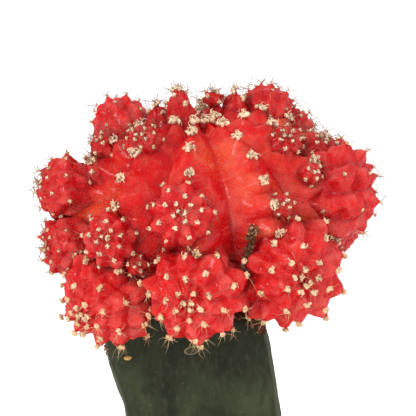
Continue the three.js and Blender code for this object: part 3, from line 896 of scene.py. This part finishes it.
def spine_finish():
    """Straw to grey-brown by the pattern of paleness, darker at the tip."""
    material, tree = new_finish("spines")
    body = ramp(tree, pattern(tree, "pale"), (0.0, "#6e453a"), (0.35, "#94685a"), (0.7, "#c0a078"),
                (1.0, "#d8be90"))
    body = layered(tree, body, (pattern(tree, "along", 0.5, 1.0, 0, 0.35), "#5e3a30"))
    return finished(material, {"Base Color": body, "Roughness": 0.55, "Specular IOR Level": 0.2})


wool = wool_finish("wool", "#f2dabc", "#deb280", "#86503c")
spines = spine_finish()
print(wool.name, "and", spines.name)

# %% Wool and spines of the offsets
SPINES_OF = {"front": (5, 3.4), "sides": (6, 4.0), "crown": (6, 4.4), "back": (5, 3.8)}
LUMPS_OF = {"front": 7, "sides": 7, "crown": 7, "back": 5}
for index, (name, found) in enumerate(offset_areoles.items()):
    tufts = joined([wool_shape(found, LUMPS_OF[name], 0.4, 0.3, 0.46, 20 + index),
                    curls_shape(found, 3, 0.36, 0.7, 0.17, 60 + index)])
    make_piece("wool_" + name, tufts, wool)
    count, length = SPINES_OF[name]
    needles = spine_shape(found, count, length, 0.12, 40 + index, 1.5)
    make_piece("spines_" + name, needles, spines)

# %% Wool and spines of the mother head
tufts = joined([wool_shape(mother_areoles, 20, 0.85, 0.25, 0.6, 30),
                curls_shape(mother_areoles, 12, 0.6, 0.9, 0.19, 65)])
make_piece("wool_mother", tufts, wool)
make_piece("spines_mother", spine_shape(mother_areoles, 7, 2.6, 0.17, 50, 1.9), spines)

# %% [markdown]
# ## The green stock
#
# The stock is a length of climbing cactus with three wings, cut off level to carry the graft. It
# could be a star drawn flat and stretched upwards. A formula for how far the stem reaches at
# each angle and height gives the wings' waved edges and the lean in one go, and the soil can use
# the same formula for its hole.

# %% Stock formula
STOCK = dict(foot=30.0, top=128.7, shoulder=3.4, cut=0.66, wing=19.3, face=9.6, sharpness=2.8,
             flare=1.0, wave=0.5, pitch=32.0, crest=120.0, shift=1.6, lean=-8.0)
STOCK_RIPPLES = [(0.22, 9, 61), (0.05, 2.2, 62)]
CUT_RINGS = 4
BEVEL_RINGS = 10
SOIL_TOP = 68.0


def stock_rise(height):
    """0 at the soil and 1 at the cut."""
    return np.clip((height - SOIL_TOP) / (STOCK["top"] - SOIL_TOP), 0, 1)


def stock_middle(height):
    """Where the stem's axis stands along X: the shift plus the lean times the rise squared."""
    return STOCK["shift"] + STOCK["lean"] * stock_rise(height) ** 2


def stock_outline(angle, height, share=1.0, margin=0.0):
    """Points of the stem's skin, and n. The skin reaches face + (wing - face) x n, where n is
    the mean of 1 and the cosine of three times the angle from a wing, to the power sharpness."""
    wave = STOCK["wave"] * np.cos(2 * math.pi * (height - STOCK["crest"]) / STOCK["pitch"])
    wing = STOCK["wing"] + STOCK["flare"] * stock_rise(height) + wave
    near = ((1 + np.cos(3 * (angle - math.pi / 2))) / 2) ** STOCK["sharpness"]
    reach = (STOCK["face"] + (wing - STOCK["face"]) * near) * share + margin
    x = stock_middle(height) + reach * np.cos(angle)
    return np.stack([x, reach * np.sin(angle), np.broadcast_to(height, x.shape)], axis=-1), near


def stock_shape(columns, rings):
    """The stem from its cut top down to its rounded foot, with the rim of the cut as a quarter
    of an oval."""
    top, foot, low = STOCK["top"], STOCK["foot"], STOCK["top"] - STOCK["shoulder"]
    bevel = np.linspace(0, math.pi / 2, BEVEL_RINGS)
    heights = np.concatenate([
        np.full(CUT_RINGS, top), low + STOCK["shoulder"] * np.cos(bevel),
        np.linspace(low, foot + 2, rings)[1:], [foot + 0.6, foot]])
    shares = np.concatenate([
        np.linspace(0.15, 0.6, CUT_RINGS), STOCK["cut"] + (1 - STOCK["cut"]) * np.sin(bevel),
        np.ones(rings - 1), [0.95, 0.8]])
    ring, near = stock_outline(angles(columns)[None], heights[:, None], shares[:, None])
    first, last = (np.array([[stock_middle(end), 0, end]]) for end in (top, foot))
    points, cells = closed_shapes(first, ring[None], last)
    level = np.stack([points[:, 0] - stock_middle(points[:, 2]), points[:, 1]], axis=1)
    reach = np.linalg.norm(level, axis=1, keepdims=True)
    points[:, :2] += level / np.maximum(reach, 1) * uneven(points, STOCK_RIPPLES)[:, None]
    cut = smooth(points[:, 2] + 0.5 * ripple(points, 3, 63), low + 1.9, low + 3.1)
    edge = np.broadcast_to(near, ring.shape[:2])
    return points, cells, {"edge": closed_values(0, edge[None], 0), "cut": cut}


# %% [markdown]
# ## The stock's finish
#
# The skin is a dull olive with a thin wax bloom, lighter and greyer in clouds, and finely
# pitted. Three things break it up: a pale horny line along each wing's edge, the brown cork that
# grew over the cut, and an oval scar on the front face where an areole dried off. The scar is
# drawn by centring the coordinates on it and taking their length, which gives rings.

# %% Stock finish
SCAR_AT = (-3.5, -9.7, 119.5)
SCAR_HALF = (1.85, 12.0, 1.0)
SCAR_TILT = -12.0


def scar_rings(tree):
    """The distance from the scar's middle in parts of its half length and half height."""
    settings = {"Vector": place(tree), "Location": [v * MM for v in SCAR_AT],
                "Rotation": (0, math.radians(SCAR_TILT), 0), "Scale": [v * MM for v in SCAR_HALF]}
    where = wire(tree, "Mapping", settings, vector_type="TEXTURE").outputs["Vector"]
    return wire(tree, "VectorMath", {0: where}, operation="LENGTH").outputs["Value"]


def stock_finish():
    """Olive clouds, specks and pits, a horny edge, cork at the cut and the scar's ring."""
    material, tree = new_finish("stock skin")
    clouds = noise(tree, 16, 4, (1, 1, 0.5), 0.4)
    smudge = noise(tree, 8, 5, (1, 1, 0.7), 0.8)
    bloom = noise(tree, 1.1, 6, (1, 1, 0.45))
    speck = times(tree, dots(tree, 1.7, 0.06, 0.14), blots(tree, 2.3, 2, 0.5, 0.6, 0, 0.35))
    edge = times(tree, pattern(tree, "edge", 0.982, 1.0), 0.55)
    cork = ramp(tree, noise(tree, 1.6, 4), (0.3, "#1d120c"), (0.55, "#3f281a"), (0.75, "#8a6a48"))
    ring = ramp(tree, scar_rings(tree), (0.0, "#404040"), (0.62, "#606060"), (0.8, "#ffffff"),
                (0.95, "#ffffff"), (1.0, "#000000"))
    green = layered(
        tree, ramp(tree, clouds, (0.34, "#1b1e14"), (0.5, "#2a2f20"), (0.66, "#3e4530")),
        (spread(tree, smudge, 0.52, 0.68, 0, 0.55), "#16190f"),
        # Painted shade: darker towards the cut, where the heads hang over the stem.
        (spread(tree, height_of(tree), 0.112, 0.126, 0, 0.4), "#12150d"),
        (spread(tree, bloom, 0.5, 0.75, 0, 0.45), "#474c36"),
        (speck, "#6f7258"),
        (edge, "#5a5e4a"),
        (pattern(tree, "cut"), cork),
        (times(tree, ring, 0.9), "#8a7c5e"))
    cork_relief = times(tree, pattern(tree, "cut"), noise(tree, 1.3, 4))
    return finished(material, {
        "Base Color": green, "Roughness": blots(tree, 3, 3, 0.3, 0.7, 0.55, 0.75),
        "Normal": bumps(tree, (noise(tree, 0.6, 3), 0.06), (cork_relief, 0.5), (ring, 0.25)),
        "IOR": 1.4, "Specular IOR Level": 0.18})


make_piece("green_stock", stock_shape(150, 130), stock_finish(), "rootstock")

# %% [markdown]
# ## The stock's areoles
#
# A stock has areoles too, here and there on its wings' edges: a bit of grey-brown felt and four
# short stiff spines. The three wings don't carry them at the same heights.

# %% Stock areoles
AREOLES_ON_WINGS = [(90, 109.4), (90, 77.4), (210, 120), (210, 88), (330, 98.6)]


def stock_areoles():
    """The areoles on the wings' edges, in the arrays that wool and spines want. A place is a
    wing's angle in degrees and a height."""
    places = np.array(AREOLES_ON_WINGS, float)
    angle, height = np.radians(places[:, 0]), places[:, 1]
    at = stock_outline(angle, height)[0]
    out = np.stack([np.cos(angle), np.sin(angle), np.zeros(len(angle))], axis=1)
    down = np.tile(DOWN, (len(angle), 1))
    return dict(at=at, out=out, down=down, side=np.cross(out, down),
                size=np.full(len(angle), 1.0), age=np.full(len(angle), 0.9))


felt = wool_finish("stock felt", "#a89478", "#7c6a54", "#4a3a2c")
stock_found = stock_areoles()
make_piece("felt_stock", wool_shape(stock_found, 8, 0.9, 0.4, 0.35, 70), felt)
make_piece("spines_stock", spine_shape(stock_found, 4, 1.7, 0.3, 71, 0.2), spines)

# %% [markdown]
# ## Dry remains
#
# In the cleft between three heads lies what has dried and fallen in: brown crumbs with a bit of
# paler dry wool on top. The same crumbs make the callus, the dark cork that has healed over the
# cut at the stock's right shoulder. On the left wing sits one flat seed scale.

# %% Dry remains
CLEFT_TOP = np.array([9.6, -26.0, 151.8])
CLEFT_FOOT = np.array([7.4, -25.8, 141.0])
CALLUS_ANGLE = math.radians(328)
CALLUS_SPREAD = math.radians(4)
CALLUS_LOW = 124.0
CALLUS_TOP = 127.6
CALLUS_SUNK = 0.15
SCALE_AT = np.array([[-17.6, -12.0, 118.6]])


def crumbs(centres, smallest, largest, seed):
    """Crumbs at these places, with the patterns that the wool's finish wants."""
    rng = np.random.default_rng(seed)
    count = len(centres)
    points, cells = lumps(centres, rng.uniform(smallest, largest, count), 0.4, seed)
    shade, rise = rng.uniform(0, 1, (2, count))
    return points, cells, repeated(points, age=np.ones(1), shade=shade, rise=rise)


def cleft_places(count, share_of_it, seed):
    """Places strewn about the line from the top of the cleft down a share of it, most at the
    top."""
    rng = np.random.default_rng(seed)
    share = share_of_it * rng.uniform(0, 1, (count, 1)) ** 1.3
    return CLEFT_TOP + (CLEFT_FOOT - CLEFT_TOP) * share + rng.normal(0, 0.42, (count, 3))


def callus_places(count, seed):
    """Places on the stock's right shoulder, from CALLUS_LOW up to CALLUS_TOP."""
    rng = np.random.default_rng(seed)
    rise = rng.uniform(0, 1, count)
    height = CALLUS_LOW + (CALLUS_TOP - CALLUS_LOW) * rise
    bevel = np.clip((height - STOCK["top"] + STOCK["shoulder"]) / STOCK["shoulder"], 0, 1)
    share = STOCK["cut"] + (1 - STOCK["cut"]) * np.sqrt(1 - bevel**2)
    angle = CALLUS_ANGLE + CALLUS_SPREAD * rng.normal(0, 1, count) * (0.35 + 0.65 * rise)
    return stock_outline(angle, height, share, -CALLUS_SUNK)[0]


crumb = wool_finish("dry crumbs", "#94684a", "#5a3624", "#22100a")
make_piece("dry_remains", crumbs(cleft_places(210, 1.0, 80), 0.16, 0.42, 81), crumb)
dry_wool = wool_finish("dry wool", "#cca07c", "#94664a", "#3c1c12")
make_piece("dry_tuft", crumbs(cleft_places(50, 0.15, 85), 0.14, 0.3, 86), dry_wool)
make_piece("callus", crumbs(callus_places(130, 82), 0.2, 0.5, 83), crumb)
seed_coat = wool_finish("seed scale", "#e2c07c", "#d0aa64", "#8c6a36")
scale_points, scale_cells = lumps(SCALE_AT, np.array([1.0]), 0.05, 84, 0.55)
scale_patterns = repeated(scale_points, age=np.ones(1), rise=np.ones(1))
make_piece("seed_scale", (scale_points, scale_cells, scale_patterns), seed_coat)

# %% [markdown]
# ## The clay pot
#
# A plain pot of fired clay. It could be a cylinder with a bevelled rim, but a profile carried
# round the axis has the real wall, lip and drain hole. The profile's corners are few, and a
# helper puts points between them so that noise can make the wall a little uneven.

# %% Pot
POT_PROFILE = [(5, 0.3), (5.3, 0), (28.9, 0), (29.7, 0.25), (30.1, 1), (40.6, 59.2), (40.9, 59.9),
               (43.1, 60), (43.8, 60.4), (44, 61.2), (44, 76.6), (43.7, 77.6), (42.9, 78), (39, 78),
               (38.1, 77.7), (37.8, 76.9), (27.2, 7.2), (26.4, 6.2), (25.4, 6), (5.4, 6), (5, 5.6)]
POT_INSIDE = 38.0
POT_RIPPLES = [(0.12, 26, 90), (0.05, 5, 91)]


def spaced(corners, gap):
    """Points along a closed path of corners, no further than gap apart."""
    path = np.array(corners + corners[:1], float)
    stretches = [np.linspace(a, b, int(np.linalg.norm(b - a) / gap) + 1, endpoint=False)
                 for a, b in zip(path[:-1], path[1:])]
    return np.concatenate(stretches)


def pot_shape(columns, gap):
    """The profile carried round the axis: radius x (cos, sin) of the angle, and the height."""
    profile, angle = spaced(POT_PROFILE, gap), angles(columns)
    radius, height = profile[:, :1], profile[:, 1:]
    rings = np.stack([radius * np.cos(angle), radius * np.sin(angle), height + 0 * angle], axis=-1)
    points = rings.reshape(-1, 3)
    points[:, :2] += unit(points[:, :2]) * uneven(points, POT_RIPPLES)[:, None]
    row = columns * np.arange(len(profile))[:, None]
    next_row = np.roll(row, -1)
    around = np.arange(columns)
    after = (around + 1) % columns
    cells = np.stack([row + around, row + after, next_row + after, next_row + around], axis=-1)
    inside = np.repeat((radius < POT_INSIDE) & (height > SOIL_TOP - 8), columns)
    return points, [cells.reshape(-1, 4)], {"inside": inside.astype(float)}


def clay_finish():
    """Fired clay: mottled orange, turning lines, pits and a white bloom of salt low down."""
    material, tree = new_finish("fired clay")
    clouds = noise(tree, 14, 5, (1, 1, 1.6), 0.3)
    fine = noise(tree, 0.9, 4)
    pale = dots(tree, 1.8, 0.09, 0.16)
    bloom = times(tree, spread(tree, height_of(tree), 0.004, 0.04, 1, 0),
                  spread(tree, noise(tree, 9, 6, distortion=0.8), 0.46, 0.66), 0.55)
    clay = layered(
        tree, ramp(tree, clouds, (0.3, "#a3532f"), (0.5, "#b9663d"), (0.7, "#c97d53")),
        (spread(tree, fine, 0.58, 0.74, 0, 0.5), "#8c4326"),
        (times(tree, pale, 0.5), "#dcae86"),
        (bloom, "#e6d6c4"),
        (times(tree, pattern(tree, "inside"), 0.45), "#5b3523"))
    lines = noise(tree, 1.1, 2, (0.02, 0.02, 1.0))
    return finished(material, {
        "Base Color": clay, "Roughness": spread(tree, fine, 0.3, 0.7, 0.78, 0.95),
        "Normal": bumps(tree, (lines, 0.12), (fine, 0.16), (pale, 0.08)),
        "Specular IOR Level": 0.25})


make_piece("clay_pot", pot_shape(144, 1.6), clay_finish(), "pot")

# %% [markdown]
# ## The soil
#
# A gritty cactus mix. The body of it is a surface with a hole for the stem, carried down along
# the pot's wall, so that it is a closed solid. Crumbs, grit and pumice are strewn on it: copies
# of one lump in three finishes, sunk part of the way into the surface.

# %% Soil body
SOIL_RADIUS = 36.0
SOIL_FOOT = 6.3
SOIL_FOOT_RADIUS = 26.7
SOIL_RIPPLES = [(0.42, 17, 100), (0.2, 4.5, 101), (0.1, 1.5, 102)]
HOLE_MARGIN = 0.3


def soil_height(points):
    """Height of the soil's surface: its level plus three sizes of noise."""
    level = np.concatenate([points[..., :2], np.zeros((*points.shape[:-1], 1))], axis=-1)
    return SOIL_TOP + uneven(level, SOIL_RIPPLES)


def soil_shape(columns, rings):
    """The soil from the floor of the stem's hole up its wall, out over the surface, down the
    pot's wall and in again below."""
    angle = angles(columns)
    stem = stock_outline(angle, np.full(columns, SOIL_TOP), 1.0, HOLE_MARGIN)[0]
    stem_foot = stock_outline(angle, np.full(columns, STOCK["foot"] - 0.5), 1.0, HOLE_MARGIN)[0]
    wall = np.stack([np.cos(angle), np.sin(angle), 0 * angle], axis=-1)
    share = np.linspace(0, 1, rings)[:, None, None]
    surface = stem + (wall * SOIL_RADIUS - stem) * share
    surface[..., 2] = soil_height(surface)
    foot = wall * SOIL_FOOT_RADIUS + np.array([0, 0, SOIL_FOOT])
    hole = stem_foot + (surface[0] - stem_foot) * np.linspace(0, 1, 5)[:-1, None, None]
    side = surface[-1] + (foot - surface[-1]) * np.linspace(0, 1, 6)[1:, None, None]
    body = np.concatenate([hole, surface, side])
    first = np.array([[stock_middle(STOCK["foot"]), 0, STOCK["foot"] - 0.5]])
    last = np.array([[0, 0, SOIL_FOOT]])
    points, cells = closed_shapes(first, body[None], last)
    return points, cells, {}


def soil_finish(name, dark, middle, light, size):
    """A dry crumbly finish in three colours."""
    material, tree = new_finish(name)
    grain = noise(tree, size, 5)
    return finished(material, {
        "Base Color": ramp(tree, grain, (0.3, dark), (0.5, middle), (0.7, light)),
        "Normal": bumps(tree, (grain, size / 3), (noise(tree, size / 4, 3), size / 12)),
        "Roughness": 0.95, "Specular IOR Level": 0.2})


peat = soil_finish("peat", "#1c130d", "#3a281c", "#5c4431", 1.8)
make_piece("soil_body", soil_shape(160, 50), peat, "soil")


# %% Grains on the soil
def grains_shape(count, smallest, largest, seed, flatness):
    """Grains strewn between the stem and the pot, few large and many small."""
    rng = np.random.default_rng(seed)
    angle = rng.uniform(0, 2 * math.pi, count)
    radii = smallest + (largest - smallest) * rng.uniform(0, 1, count) ** 2.5
    inner = stock_outline(angle, np.full(count, SOIL_TOP))[0]
    outer = np.stack([np.cos(angle), np.sin(angle), 0 * angle], axis=1) * (SOIL_RADIUS + 0.6)
    reach = np.linalg.norm(outer[:, :2] - inner[:, :2], axis=1)
    share = np.clip(np.sqrt(rng.uniform(0, 1, count)), radii / reach, 1 - radii / reach)
    centres = inner + (outer - inner) * share[:, None]
    centres[:, 2] = soil_height(centres) + 0.25 * radii
    points, cells = lumps(centres, radii, 0.22, seed, flatness)
    return points, cells, {}


pumice = soil_finish("pumice", "#8f877a", "#b9b2a4", "#dcd6ca", 0.9)
grit = soil_finish("grit", "#5d4a38", "#8a7258", "#b29a7a", 1.2)
make_piece("soil_crumbs", grains_shape(600, 0.35, 1.6, 110, 0.8), peat)
make_piece("soil_pumice", grains_shape(170, 0.5, 1.9, 111, 0.85), pumice)
make_piece("soil_grit", grains_shape(260, 0.3, 1.3, 112, 0.75), grit)

# %% [markdown]
# ## Floor, light and camera
#
# The plant stands on a white floor in a white room, lit softly from the front and above. The
# camera looks down on it by fifteen degrees through a long lens.

# %% Floor
FLOOR_HALF = 3000.0
floor_mesh = bpy.data.meshes.new("floor")
corners = [(-FLOOR_HALF, -FLOOR_HALF), (FLOOR_HALF, -FLOOR_HALF), (FLOOR_HALF, FLOOR_HALF),
           (-FLOOR_HALF, FLOOR_HALF)]
floor_mesh.from_pydata([(x * MM, y * MM, 0) for x, y in corners], [], [(0, 1, 2, 3)])
floor_mesh.materials.append(finished(new_finish("white floor")[0], {
    "Base Color": (0.92, 0.92, 0.92, 1), "Roughness": 0.9, "Emission Color": (1, 1, 1, 1),
    "Emission Strength": 0.3}))
floor = added("floor", floor_mesh)

# %% Light
TARGET = np.array([0, 0, 149.3])


def aimed(at, target):
    """The turn, as Euler angles, that points an object's -Z from one place at another."""
    x, y, z = target - at
    return (math.atan2(math.hypot(x, y), -z), 0, math.atan2(y, x) - math.pi / 2)


def soft_light(name, at, width, power):
    """A square area light that looks at the plant."""
    lamp = bpy.data.lights.new(name, "AREA")
    lamp.size = width * MM
    lamp.energy = power
    light = added(name, lamp)
    light.location = np.array(at) * MM
    light.rotation_euler = aimed(np.array(at, float), TARGET)


soft_light("key", (-440, -540, 680), 300, 3.8)
soft_light("fill", (700, -300, 450), 500, 1.3)
soft_light("back", (-200, 800, 700), 600, 1.0)
world = bpy.data.worlds.new("white room")
world.use_nodes = True
world.node_tree.nodes["Background"].inputs["Color"].default_value = (1, 1, 1, 1)
world.node_tree.nodes["Background"].inputs["Strength"].default_value = 1.0
bpy.context.scene.world = world
bpy.context.scene.view_settings.view_transform = "Standard"

# %% Camera
DISTANCE = 600.0
ELEVATION = math.radians(15)
PIXELS = 416
MM_A_PIXEL = 0.22
SENSOR = 36.0
lens = bpy.data.cameras.new("camera")
lens.sensor_width = SENSOR
lens.lens = SENSOR / (PIXELS * MM_A_PIXEL) * DISTANCE
lens.clip_start = 0.01
camera = added("camera", lens)
back_and_up = np.array([0, -math.cos(ELEVATION), math.sin(ELEVATION)])
camera.location = (TARGET + DISTANCE * back_and_up) * MM
camera.rotation_euler = (math.pi / 2 - ELEVATION, 0, 0)
bpy.context.scene.camera = camera
